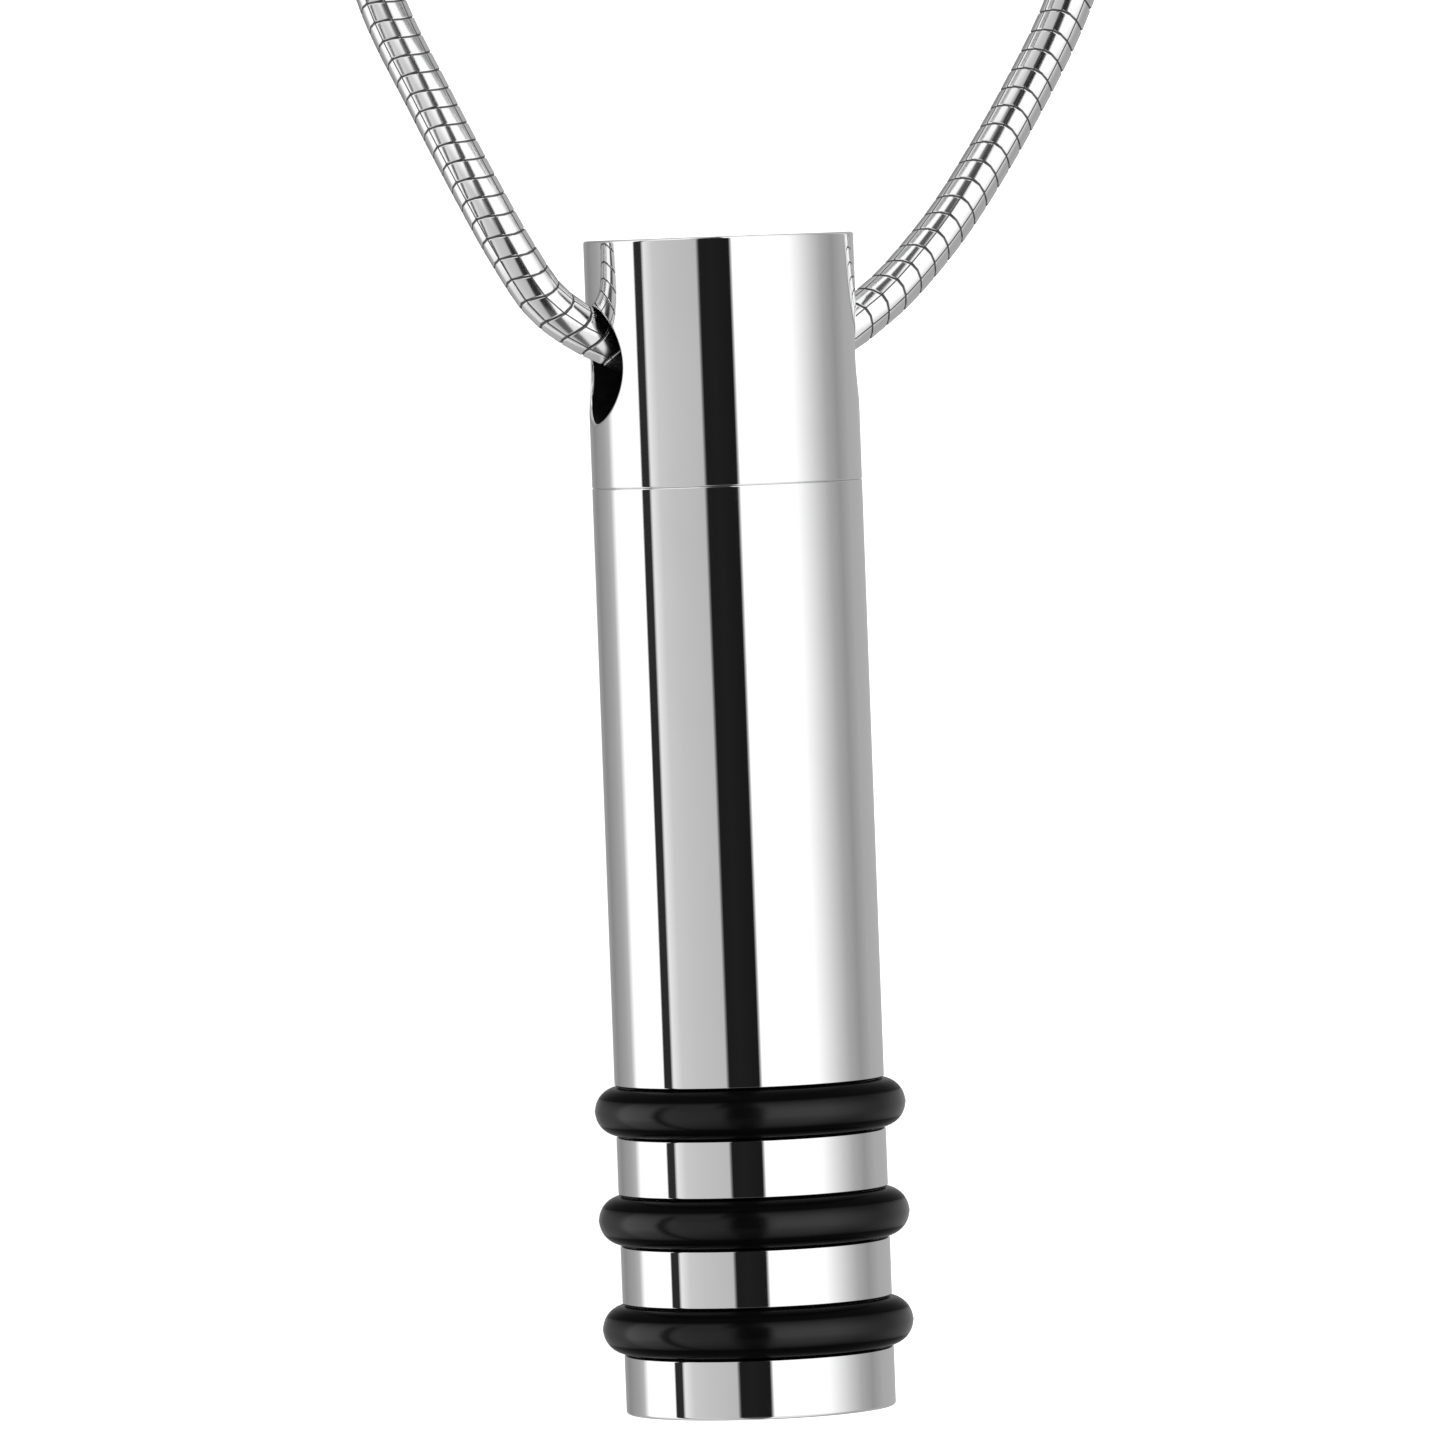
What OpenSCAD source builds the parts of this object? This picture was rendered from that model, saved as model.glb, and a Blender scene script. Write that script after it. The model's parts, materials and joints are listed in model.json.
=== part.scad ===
// Keepsake capsule pendant on a snake chain.
// A turned steel barrel with a hidden chamber screws onto a cap. Three rubber rings sit in
// grooves near the base. The chain runs through a cross hole in the cap, and its spare length
// is wound into a flat coil with the clasp closed on top.
//
// The capsule lies on its rubber rings along Y with the cap towards +Y. The origin is on the
// surface that it rests on, under the middle of the capsule. All sizes are in millimetres.

/* [Capsule] */
// Outside diameter of the cap and the barrel
capsule_d = 10; // [9.6:0.1:10.2]
// Length of the closed capsule
capsule_l = 43.5; // [43.2:0.1:50]
// Length of the cap
cap_l = 9.15; // [9:0.05:9.6]
// Chamfer on the two outer ends
end_chamfer = 0.1; // [0.1:0.05:0.4]
// Chamfer on each side of the joint line
joint_chamfer = 0.05; // [0.03:0.01:0.1]

/* [Chain eye] */
// Diameter of the cross hole in the cap
eye_d = 4.3; // [4:0.1:4.4]
// Distance from the top of the cap to the middle of the cross hole
eye_drop = 4.6; // [4.5:0.05:4.9]
// Turn of the cross hole about the capsule, left mouth upwards
eye_turn = 16; // [14:1:20]
// Width of the eased edge at each mouth
eye_ease = 0.3; // [0.2:0.05:0.4]

/* [Thread and chamber] */
// Outside diameter of the thread on the stud
thread_d = 7; // [6.8:0.1:7.2]
// Length of the stud below the cap
stud_l = 4.4; // [3.6:0.1:4.8]
// Diameter of the tenon that is bonded into the cap
tenon_d = 4.6; // [4:0.1:5]
// Length of the tenon
tenon_l = 1.5; // [1:0.1:1.7]
// Diameter of the chamber in the barrel
chamber_d = 6.2; // [6:0.1:6.3]
// Thickness of the barrel's closed end
base_t = 2.2; // [1.5:0.1:4]

/* [Rubber rings] */
// Thickness of the rubber cord
rubber_d = 1.8; // [1.7:0.05:1.9]
// Inside diameter of the fitted rings
rubber_inner_d = 7.92; // [7.9:0.01:8]
// Distance from the base to the first ring
first_ring = 3.15; // [2.5:0.05:4]
// Distance from one ring to the next
ring_step = 4.05; // [3:0.05:5]

/* [Chain] */
// Outside diameter of the snake chain
chain_d = 1.8; // [1.6:0.1:1.8]
// Distance between turns of the coil
turn_step = 1.85; // [1.82:0.01:1.9]
// Radius of the coil's outermost turn, at the middle of the chain
coil_outer_r = 12.15; // [12:0.05:12.5]

/* [Clasp] */
// Length of the tube on each end of the chain
ferrule_l = 4.2; // [4:0.1:5]
// Thickness of the clasp's body
clasp_t = 2.4; // [2.2:0.1:2.6]
// Radius of the clasp's round hook
hook_bar_r = 0.55; // [0.5:0.05:0.55]

/* [Hidden] */

$fn = 96;
over = 0.5;              // how far a cutter runs past the face it opens

// Capsule, measured from the base along its axis
rubber_outer_d = rubber_inner_d + 2 * rubber_d;
axis_h = rubber_outer_d / 2;
joint_at = capsule_l - cap_l;
eye_at = capsule_l - eye_drop;

// Barrel
groove_d = rubber_inner_d - 0.06;
groove_w = rubber_d + 0.06;
groove_edge = 0.08;
thread_bore_d = thread_d + 0.1;
thread_bore_l = stud_l + 0.8;
seal_wire_d = 0.68;
seal_seat_d = 8.6;
seal_seat_l = 0.78;
seal_mid_r = thread_d / 4 + seal_seat_d / 4 + 0.02;

// Stud
stud_tip_chamfer = 0.35;
bond_gap = 0.02;

// Chain, and the coil that holds its spare length. The coil's first layer is wound from the
// left strand and its second from the right strand.
chain_r = chain_d / 2;
tube_sides = 8;
coil_at = [0.6, 46.5];
coil_inner_r = 5.6;
coil_rim_r = coil_outer_r + chain_r + 0.1;

// Route of the chain from the coil's left side, down to the capsule, through the eye, and back
// up to the coil's right side
run_route = [
    [-11.55, 46.5, 0.9], [-12.0, 42.4, 0.9], [-12.8, 38.6, 0.95], [-13.05, 34.8, 1.3],
    [-12.2, 31.0, 2.4], [-10.5, 27.2, 4.3], [-8.7, 23.5, 6.4], [-7.6, 21.4, 7.3],
    [-6.5, 19.65, 7.6], [-5.6, 18.85, 7.45], [-4.5, 18.17, 7.05],
    [-2.95, 17.5, 6.4], [-1.55, 17.15, 5.8], [-0.15, 17.0, 5.35], [1.3, 17.1, 5.0],
    [2.8, 17.45, 4.7], [4.4, 18.05, 4.35],
    [5.4, 18.75, 4.0], [6.4, 19.55, 3.6], [8.0, 21.25, 2.8], [9.2, 22.8, 2.2],
    [11.5, 26.4, 1.2], [13.4, 30.0, 0.9], [14.7, 34.0, 0.95], [14.8, 38.2, 1.5],
    [13.6, 42.4, 2.3], [12.75, 46.5, 2.7],
];

// Routes of the chain's two ends, from the inside of the coil up onto its top, measured from
// the middle of the coil
left_tail_route = [
    [-6.6, 0, 0.9], [-5.2, 3.0, 0.9], [-2.3, 4.9, 1.0], [1.2, 4.8, 1.5], [4.0, 2.7, 2.4],
    [4.8, -0.6, 3.3], [3.2, -3.7, 4.2], [-0.3, -5.6, 4.65], [-4.4, -6.0, 4.7],
    [-8.0, -4.0, 4.7], [-9.9, -0.4, 4.8], [-9.8, 2.8, 5.0], [-8.4, 5.7, 5.2],
];
right_tail_route = [
    [0, -7.05, 2.7], [3.3, -6.3, 3.2], [6.2, -4.1, 4.0], [8.3, -0.9, 4.5],
    [9.0, 2.4, 4.8], [8.2, 5.7, 5.2],
];

// Clasp, measured from its own middle, with its length along X
clasp_at = [coil_at[0], coil_at[1] + 7.95, 5.2];
left_end_at = [coil_at[0], coil_at[1], 0] + left_tail_route[len(left_tail_route) - 1];
right_end_at = [coil_at[0], coil_at[1], 0] + right_tail_route[len(right_tail_route) - 1];
end_heading = 60;        // direction of each end cap above the X axis
ferrule_d = 2.4;
ferrule_bore_d = chain_d + 0.05;
ferrule_grip = 3;        // how far the chain goes into its end cap
loop_at = 2.6;           // from the end of the chain to the middle of the loop
loop_d = 1.9;
loop_hole_d = 0.9;
loop_t = 0.8;
jump_wire_d = 0.5;
jump_mid_r = 1.1;
jump_at = -6.0;
catch_wire_d = 0.6;
catch_mid_r = 1.6;
catch_at = [5.3, 0, 0.35];
hook_at = 2.6;           // middle of the hook's curve
hook_mid_r = 2.1;
hook_open = 50;          // the hook ends this many degrees past its nose
root_at = [-1.6, 0.2];
root_r = 2.5;
root_slot_t = 1.1;
clasp_eye_at = -4.9;
clasp_eye_d = 1.9;
clasp_eye_hole_d = 1.0;
clasp_eye_t = 0.9;
pin_at = [-1.6, -0.9];
pin_d = 0.7;
lever_hub_d = 1.7;
lever_hub_t = 0.6;
lever_play = 0.08;       // the hub's bore is this much wider than the pin
lever_bar_r = 0.45;
lever_tip_at = [3.35, -2.05];
tab_at = [-0.7, -2.65];
tab_d = 1.1;
spring_wire_d = 0.18;
spring_mid_r = 0.56;

// ---------- shared shapes ----------

// Puts a shape drawn along Z from the capsule's base onto the lying capsule
module on_capsule() translate([0, -capsule_l / 2, axis_h]) rotate([-90, 0, 0]) children();

// A round bar with a chamfer at each end, standing on z = 0
module chamfered_bar(d, l, low, high) {
    r = d / 2;
    rotate_extrude()
        polygon([[0, 0], [r - low, 0], [r, low], [r, l - high], [r - high, l], [0, l]]);
}

// A round ring lying flat, with its middle at the origin
module ring(mid_r, wire_d) {
    rotate_extrude() translate([mid_r, 0]) circle(d = wire_d, $fn = 48);
}

// A straight round rod from one point of the XY plane to another
module rod(from, to, r) {
    way = to - from;
    translate([from[0], from[1], 0])
        rotate([0, 0, atan2(way[1], way[0])])
        rotate([0, 90, 0]) cylinder(h = norm(way), r = r, $fn = 48);
}

// ---------- tube swept along a route ----------

function unit(v) = v / norm(v);

// Direction of a route at one of its points
function heading(route, i) =
    unit(route[min(i + 1, len(route) - 1)] - route[max(i - 1, 0)]);

// Points of one ring of the tube, square to the route
function tube_ring(route, i, r) =
    let (
        ahead = heading(route, i),
        side = unit(cross(ahead, [0, 0, 1])),
        up = cross(side, ahead)
    )
    [for (k = [0 : tube_sides - 1])
        route[i] + r * (cos(360 * k / tube_sides) * side + sin(360 * k / tube_sides) * up)];

module tube(route, r) {
    last = len(route) - 1;
    polyhedron(
        points = [for (i = [0 : last]) each tube_ring(route, i, r)],
        faces = [
            [for (k = [0 : tube_sides - 1]) k],
            for (i = [0 : last - 1]) for (k = [0 : tube_sides - 1])
                let (
                    here = i * tube_sides,
                    next = here + tube_sides,
                    beside = (k + 1) % tube_sides
                )
                [here + k, next + k, next + beside, here + beside],
            [for (k = [0 : tube_sides - 1]) last * tube_sides + tube_sides - 1 - k],
        ]
    );
}

// ---------- capsule ----------

module cap() {
    color("silver")
    on_capsule()
    difference() {
        translate([0, 0, joint_at])
            chamfered_bar(capsule_d, cap_l, joint_chamfer, end_chamfer);
        translate([0, 0, eye_at]) rotate([0, 0, eye_turn]) eye_cutter();
        translate([0, 0, joint_at - over])
            cylinder(h = tenon_l + bond_gap + over, d = tenon_d + 2 * bond_gap);
    }
}

// The cross hole, with a cone that eases the edge of each mouth
module eye_cutter() {
    rotate([0, 90, 0]) cylinder(h = capsule_d + 2 * over, d = eye_d, center = true);
    for (side = [0, 180])
        rotate([0, 0, side]) translate([capsule_d / 2 - eye_ease, 0, 0]) rotate([0, 90, 0])
            cylinder(h = eye_ease + over, d1 = eye_d, d2 = eye_d + 2 * (eye_ease + over));
}

module cap_stud() {
    color("lightgray")
    on_capsule() {
        translate([0, 0, joint_at - stud_l])
            chamfered_bar(thread_d, stud_l, stud_tip_chamfer, 0);
        translate([0, 0, joint_at]) chamfered_bar(tenon_d, tenon_l, 0, 0.1);
    }
}

module seal_ring() {
    color("dimgray")
    on_capsule() translate([0, 0, joint_at - seal_seat_l / 2]) ring(seal_mid_r, seal_wire_d);
}

module barrel() {
    color("silver")
    on_capsule()
    difference() {
        chamfered_bar(capsule_d, joint_at, end_chamfer, joint_chamfer);
        for (i = [0 : 2]) translate([0, 0, first_ring + i * ring_step]) groove_cutter();
        translate([0, 0, base_t]) cylinder(h = joint_at, d = chamber_d);
        translate([0, 0, joint_at - thread_bore_l])
            cylinder(h = thread_bore_l + over, d = thread_bore_d);
        translate([0, 0, joint_at - seal_seat_l])
            cylinder(h = seal_seat_l + over, d = seal_seat_d);
    }
}

// A square groove with eased edges, centred on z = 0
module groove_cutter() {
    half = groove_w / 2;
    r = capsule_d / 2;
    rotate_extrude()
        polygon([
            [groove_d / 2, -half], [r - groove_edge, -half], [r, -half - groove_edge],
            [r + over, -half - groove_edge], [r + over, half + groove_edge],
            [r, half + groove_edge], [r - groove_edge, half], [groove_d / 2, half],
        ]);
}

// One of the three rubber rings, counted from the base
module o_ring(i) {
    color("black")
    on_capsule() translate([0, 0, first_ring + i * ring_step])
        ring((rubber_inner_d + rubber_d) / 2, rubber_d);
}

// ---------- chain ----------

module chain_run() color("gainsboro") tube(run_route, chain_r);

// One layer of the coil, counted from the bottom
module coil_layer(i) {
    color("gainsboro")
    translate([coil_at[0], coil_at[1], i * chain_d])
    rotate_extrude()
        translate([coil_inner_r, 0]) square([coil_rim_r - coil_inner_r, chain_d]);
}

module chain_tail(route)
    color("gainsboro") translate([coil_at[0], coil_at[1], 0]) tube(route, chain_r);

// ---------- clasp ----------

// Tube and loop on an end of the chain, drawn along X with the chain's end at the origin
module chain_end_cap() {
    closed_end = ferrule_l - ferrule_grip;
    difference() {
        union() {
            translate([-ferrule_grip, 0, 0]) rotate([0, 90, 0])
                chamfered_bar(ferrule_d, ferrule_l, 0.15, 0.35);
            translate([loop_at, 0, 0]) cylinder(h = loop_t, d = loop_d, center = true);
            translate([closed_end - 0.2, -loop_t / 2, -loop_t / 2])
                cube([loop_at - closed_end - loop_hole_d / 2, loop_t, loop_t]);
        }
        translate([-ferrule_grip - over, 0, 0]) rotate([0, 90, 0])
            cylinder(h = ferrule_grip + over, d = ferrule_bore_d);
        translate([loop_at, 0, 0])
            cylinder(h = loop_t + 2 * over, d = loop_hole_d, center = true);
    }
}

module end_cap_left()
    color("silver") translate(left_end_at) rotate([0, 0, end_heading]) chain_end_cap();

module end_cap_right()
    color("silver") translate(right_end_at) rotate([0, 0, 180 - end_heading]) chain_end_cap();

// The jump ring and the catch ring stand on edge along the clasp
module jump_ring()
    color("silver") translate(clasp_at + [jump_at, 0, 0]) rotate([90, 0, 0])
        ring(jump_mid_r, jump_wire_d);

module catch_ring()
    color("silver") translate(clasp_at + catch_at) rotate([90, 0, 0])
        ring(catch_mid_r, catch_wire_d);

module clasp_body() {
    color("silver")
    translate(clasp_at)
    difference() {
        union() {
            translate([hook_at, 0, 0]) rotate([0, 0, -hook_open])
                rotate_extrude(angle = 90 + hook_open)
                translate([hook_mid_r, 0]) circle(r = hook_bar_r, $fn = 48);
            rod([root_at[0], hook_mid_r], [hook_at, hook_mid_r], hook_bar_r);
            translate([root_at[0], root_at[1], -clasp_t / 2]) cylinder(h = clasp_t, r = root_r);
            translate([clasp_eye_at, 0, -clasp_eye_t / 2])
                cylinder(h = clasp_eye_t, d = clasp_eye_d);
        }
        translate([clasp_eye_at, 0, -clasp_t])
            cylinder(h = 2 * clasp_t, d = clasp_eye_hole_d);
        translate([root_at[0] - 1.3, -root_r - over, -root_slot_t / 2])
            cube([2 * root_r, root_r + over + 0.2, root_slot_t]);
        translate([pin_at[0], pin_at[1], -clasp_t]) cylinder(h = 2 * clasp_t, d = pin_d);
    }
}

module clasp_pin()
    color("silver") translate(clasp_at + [pin_at[0], pin_at[1], -clasp_t / 2])
        cylinder(h = clasp_t, d = pin_d - 0.01);

module clasp_lever() {
    color("silver")
    translate(clasp_at)
    difference() {
        union() {
            translate([pin_at[0], pin_at[1], -lever_hub_t / 2])
                cylinder(h = lever_hub_t, d = lever_hub_d);
            rod(pin_at + [0.5, -0.4], lever_tip_at, lever_bar_r);
            translate([tab_at[0], tab_at[1], -lever_hub_t / 2])
                cylinder(h = lever_hub_t, d = tab_d);
            translate([tab_at[0] - tab_d / 2, tab_at[1], -lever_hub_t / 2])
                cube([tab_d, pin_at[1] - tab_at[1] - 0.2, lever_hub_t]);
        }
        translate([pin_at[0], pin_at[1], -clasp_t])
            cylinder(h = 2 * clasp_t, d = pin_d + lever_play);
    }
}

// Wire spring round the pin, between the lever's hub and one cheek
module clasp_spring()
    color("gray")
    translate(clasp_at + [pin_at[0], pin_at[1], lever_hub_t / 4 + root_slot_t / 4])
        ring(spring_mid_r, spring_wire_d);

cap();
cap_stud();
seal_ring();
barrel();
o_ring(2);  // o_ring_top
o_ring(1);  // o_ring_middle
o_ring(0);  // o_ring_bottom
chain_run();
coil_layer(0);  // coil_lower
coil_layer(1);  // coil_upper
chain_tail(left_tail_route);  // chain_tail_left
chain_tail(right_tail_route);  // chain_tail_right
end_cap_left();
end_cap_right();
jump_ring();
catch_ring();
clasp_body();
clasp_lever();
clasp_pin();
clasp_spring();
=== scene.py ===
"""A mirror-polished capsule pendant on a snake chain, in its studio.

The capsule lies along Y on its rubber rings, with its cap towards +Y. Sizes inside the classes
are in millimetres and are turned into metres when a mesh is made.
"""

from __future__ import annotations

import json
import logging
import math
import random
from dataclasses import dataclass, field
from enum import Enum

import bpy
import numpy as np
from mathutils import Matrix, Vector

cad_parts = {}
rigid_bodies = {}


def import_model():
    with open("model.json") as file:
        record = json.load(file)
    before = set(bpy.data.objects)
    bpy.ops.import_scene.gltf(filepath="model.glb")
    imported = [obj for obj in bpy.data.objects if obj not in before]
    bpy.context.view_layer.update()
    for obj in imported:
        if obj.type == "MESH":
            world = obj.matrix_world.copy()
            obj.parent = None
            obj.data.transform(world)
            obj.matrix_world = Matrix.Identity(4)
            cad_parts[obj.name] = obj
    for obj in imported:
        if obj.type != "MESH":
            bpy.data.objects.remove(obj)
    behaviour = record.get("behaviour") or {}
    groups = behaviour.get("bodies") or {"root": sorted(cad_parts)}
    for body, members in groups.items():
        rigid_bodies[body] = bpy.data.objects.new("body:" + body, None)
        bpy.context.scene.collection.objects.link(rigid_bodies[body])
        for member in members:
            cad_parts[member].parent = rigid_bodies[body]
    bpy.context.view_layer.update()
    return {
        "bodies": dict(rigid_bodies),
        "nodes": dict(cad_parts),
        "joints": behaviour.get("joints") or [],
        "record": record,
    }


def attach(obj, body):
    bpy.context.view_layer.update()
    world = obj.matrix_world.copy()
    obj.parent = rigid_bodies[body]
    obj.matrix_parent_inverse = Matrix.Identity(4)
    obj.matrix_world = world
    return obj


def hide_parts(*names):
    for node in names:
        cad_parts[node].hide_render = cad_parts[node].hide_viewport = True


log = logging.getLogger("pendant")

MM = 0.001

Point = tuple[float, float, float]
Colour = tuple[float, float, float]


class Body(Enum):
    """The rigid bodies that pieces ride on."""

    CAP = "cap_and_chain"
    SEAL = "seal"
    BARREL = "barrel"
    LEVER = "clasp_lever"
    JUMP_RING = "jump_ring"
    CATCH_RING = "catch_ring"


class Slot(Enum):
    """The record's material slots."""

    POLISHED = "polished_steel"
    TURNED = "turned_steel"
    RUBBER = "black_rubber"
    SEAL = "seal_rubber"
    CHAIN = "chain_steel"
    CLASP = "clasp_steel"


def settle(piece: bpy.types.Object, body: Body, slot: Slot, *nodes: str) -> None:
    """Puts a finished piece in its place in the model.

    Args:
        piece: The piece.
        body: The body that it rides on.
        slot: Not used.
        *nodes: The plain nodes that it replaces.
    """
    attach(piece, body.value)
    if nodes:
        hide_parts(*nodes)


# ---------------------------------------------------------------------------
# Finishes
# ---------------------------------------------------------------------------


class Recipe:
    """A node tree under construction for one material."""

    def __init__(self, name: str, metallic: float = 0.0) -> None:
        """Starts an empty material with its output and its main shader.

        Args:
            name: The material's name.
            metallic: 1 for bare metal, 0 for anything else.
        """
        self.material = bpy.data.materials.new(name)
        self.material.use_nodes = True
        self.tree = self.material.node_tree
        self.tree.nodes.clear()
        output = self.add("ShaderNodeOutputMaterial")
        self.shader = self.add("ShaderNodeBsdfPrincipled")
        self.shader.inputs["Metallic"].default_value = metallic
        self.join(self.shader.outputs["BSDF"], output.inputs["Surface"])
        self.place = self.add("ShaderNodeTexCoord").outputs["Object"]

    def add(self, kind: str, **settings: object) -> bpy.types.Node:
        """Adds a node.

        Args:
            kind: Blender's name for the node type.
            **settings: Attributes to set on the node.

        Returns:
            The new node.
        """
        node = self.tree.nodes.new(kind)
        for key, value in settings.items():
            setattr(node, key, value)
        return node

    def join(self, source: bpy.types.NodeSocket, target: bpy.types.NodeSocket) -> None:
        """Links an output socket to an input socket."""
        self.tree.links.new(source, target)

    def stretched(self, scale: Point) -> bpy.types.NodeSocket:
        """Object coordinates, scaled along each axis.

        Args:
            scale: How many pattern units each metre holds, per axis.

        Returns:
            The scaled coordinates.
        """
        mapping = self.add("ShaderNodeMapping")
        mapping.inputs["Scale"].default_value = scale
        self.join(self.place, mapping.inputs["Vector"])
        return mapping.outputs["Vector"]

    def reach(self) -> bpy.types.NodeSocket:
        """The distance from the capsule's axis, in metres."""
        across = self.add("ShaderNodeVectorMath", operation="MULTIPLY_ADD")
        across.inputs[1].default_value = (1.0, 0.0, 1.0)
        across.inputs[2].default_value = (0.0, 0.0, -Axis().origin[2] * MM)
        self.join(self.place, across.inputs[0])
        length = self.add("ShaderNodeVectorMath", operation="LENGTH")
        self.join(across.outputs["Vector"], length.inputs[0])
        return length.outputs["Value"]

    def noise(
        self, scale: Point, detail: float = 4.0, roughness: float = 0.55
    ) -> bpy.types.NodeSocket:
        """A cloudy pattern.

        Args:
            scale: How many clouds each metre holds, per axis.
            detail: How many finer layers are added.
            roughness: How strong the finer layers are.

        Returns:
            The pattern, from 0 to 1.
        """
        node = self.add("ShaderNodeTexNoise")
        node.inputs["Scale"].default_value = 1.0
        node.inputs["Detail"].default_value = detail
        node.inputs["Roughness"].default_value = roughness
        self.join(self.stretched(scale), node.inputs["Vector"])
        return node.outputs["Fac"]

    def ramp(
        self, value: bpy.types.NodeSocket, low: float, high: float, start: float, end: float
    ) -> bpy.types.NodeSocket:
        """Maps a value from one range to another, held at both ends.

        Args:
            value: The value to map.
            low: The input that gives start.
            high: The input that gives end.
            start: The result at low.
            end: The result at high.

        Returns:
            The mapped value.
        """
        node = self.add("ShaderNodeMapRange")
        node.inputs["From Min"].default_value = low
        node.inputs["From Max"].default_value = high
        node.inputs["To Min"].default_value = start
        node.inputs["To Max"].default_value = end
        self.join(value, node.inputs["Value"])
        return node.outputs["Result"]

    def blend(
        self, factor: bpy.types.NodeSocket, first: Colour, second: Colour
    ) -> bpy.types.NodeSocket:
        """Mixes two colours.

        Args:
            factor: 0 for the first colour, 1 for the second.
            first: The first colour.
            second: The second colour.

        Returns:
            The mixed colour.
        """
        node = self.add("ShaderNodeMix", data_type="RGBA")
        ends = [s for s in node.inputs if s.type == "RGBA"]
        for socket, colour in zip(ends, (first, second)):
            socket.default_value = (*colour, 1.0)
        self.join(factor, node.inputs["Factor"])
        return next(o for o in node.outputs if o.type == "RGBA")

    def bump(
        self,
        height: bpy.types.NodeSocket,
        depth: float,
        under: bpy.types.NodeSocket | None = None,
    ) -> bpy.types.NodeSocket:
        """Turns a height pattern into surface relief.

        Args:
            height: The height pattern.
            depth: How deep the relief is, in metres.
            under: A coarser relief that this one lies on.

        Returns:
            The relief's normal.
        """
        node = self.add("ShaderNodeBump")
        node.inputs["Strength"].default_value = 1.0
        node.inputs["Distance"].default_value = depth
        self.join(height, node.inputs["Height"])
        if under is not None:
            self.join(under, node.inputs["Normal"])
        return node.outputs["Normal"]

    def dress(
        self,
        colour: bpy.types.NodeSocket,
        roughness: bpy.types.NodeSocket,
        relief: bpy.types.NodeSocket,
    ) -> bpy.types.Material:
        """Gives the shader its patterns.

        Args:
            colour: The base colour.
            roughness: The roughness.
            relief: The normal that bump gives.

        Returns:
            The finished material.
        """
        for name, pattern in (
            ("Base Color", colour), ("Roughness", roughness), ("Normal", relief)
        ):
            self.join(pattern, self.shader.inputs[name])
        return self.material


@dataclass(frozen=True)
class MirrorSteel:
    """Mirror-polished stainless steel with faint buffing lines and finger smudges."""

    name: str = "mirror_steel"
    tone: Colour = (0.93, 0.93, 0.935)
    smudged_tone: Colour = (0.90, 0.90, 0.905)
    clean_roughness: float = 0.012
    smudged_roughness: float = 0.05
    grain_share: float = 0.02
    line_depth: float = 1.2e-8

    def material(self) -> bpy.types.Material:
        """Makes the material."""
        recipe = Recipe(self.name, metallic=1.0)
        smudge = recipe.noise((260.0, 150.0, 260.0), detail=5.0)
        patch = recipe.ramp(smudge, 0.45, 0.72, 0.0, 1.0)
        rough = recipe.ramp(smudge, 0.40, 0.75, self.clean_roughness, self.smudged_roughness)
        grain = recipe.noise((9000.0, 900.0, 9000.0), detail=3.0)
        mixed = recipe.add("ShaderNodeMath", operation="MULTIPLY_ADD")
        mixed.inputs[1].default_value = self.grain_share
        recipe.join(grain, mixed.inputs[0])
        recipe.join(rough, mixed.inputs[2])
        lines = recipe.noise((2500.0, 60000.0, 2500.0), detail=2.0)
        return recipe.dress(
            colour=recipe.blend(patch, self.tone, self.smudged_tone),
            roughness=mixed.outputs[0],
            relief=recipe.bump(lines, self.line_depth),
        )


@dataclass(frozen=True)
class TurnedSteel:
    """Lathe-turned steel with fine rings left by the tool."""

    name: str = "turned_steel"
    tone: Colour = (0.62, 0.62, 0.63)
    oiled_tone: Colour = (0.50, 0.50, 0.51)
    ring_depth: float = 6e-7

    def material(self) -> bpy.types.Material:
        """Makes the material."""
        recipe = Recipe(self.name, metallic=1.0)
        film = recipe.noise((900.0, 900.0, 900.0))
        rings = recipe.noise((300.0, 22000.0, 300.0), detail=2.0)
        return recipe.dress(
            colour=recipe.blend(film, self.tone, self.oiled_tone),
            roughness=recipe.ramp(film, 0.3, 0.7, 0.16, 0.32),
            relief=recipe.bump(rings, self.ring_depth),
        )


@dataclass(frozen=True)
class BlackRubber:
    """Moulded black nitrile rubber with a fine grain, rubbed shiny where it stands proud."""

    name: str = "black_rubber"
    tone: Colour = (0.002, 0.002, 0.0023)
    worn_tone: Colour = (0.004, 0.004, 0.0045)
    roughness: tuple[float, float] = (0.13, 0.20)
    matt_r: float = 5.60
    shiny_r: float = 5.75
    matt_specular: float = 0.01
    shiny_specular: float = 0.45
    cloud_depth: float = 2e-6
    grain_depth: float = 1.2e-6

    def material(self) -> bpy.types.Material:
        """Makes the material."""
        recipe = Recipe(self.name)
        specular = recipe.ramp(
            recipe.reach(), self.matt_r * MM, self.shiny_r * MM,
            self.matt_specular, self.shiny_specular,
        )
        recipe.join(specular, recipe.shader.inputs["Specular IOR Level"])
        cloud = recipe.noise((1200.0, 1200.0, 1200.0), detail=6.0)
        grain = recipe.noise((26000.0, 26000.0, 26000.0), detail=3.0)
        coarse = recipe.bump(cloud, self.cloud_depth)
        return recipe.dress(
            colour=recipe.blend(cloud, self.tone, self.worn_tone),
            roughness=recipe.ramp(cloud, 0.3, 0.7, *self.roughness),
            relief=recipe.bump(grain, self.grain_depth, coarse),
        )


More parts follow.
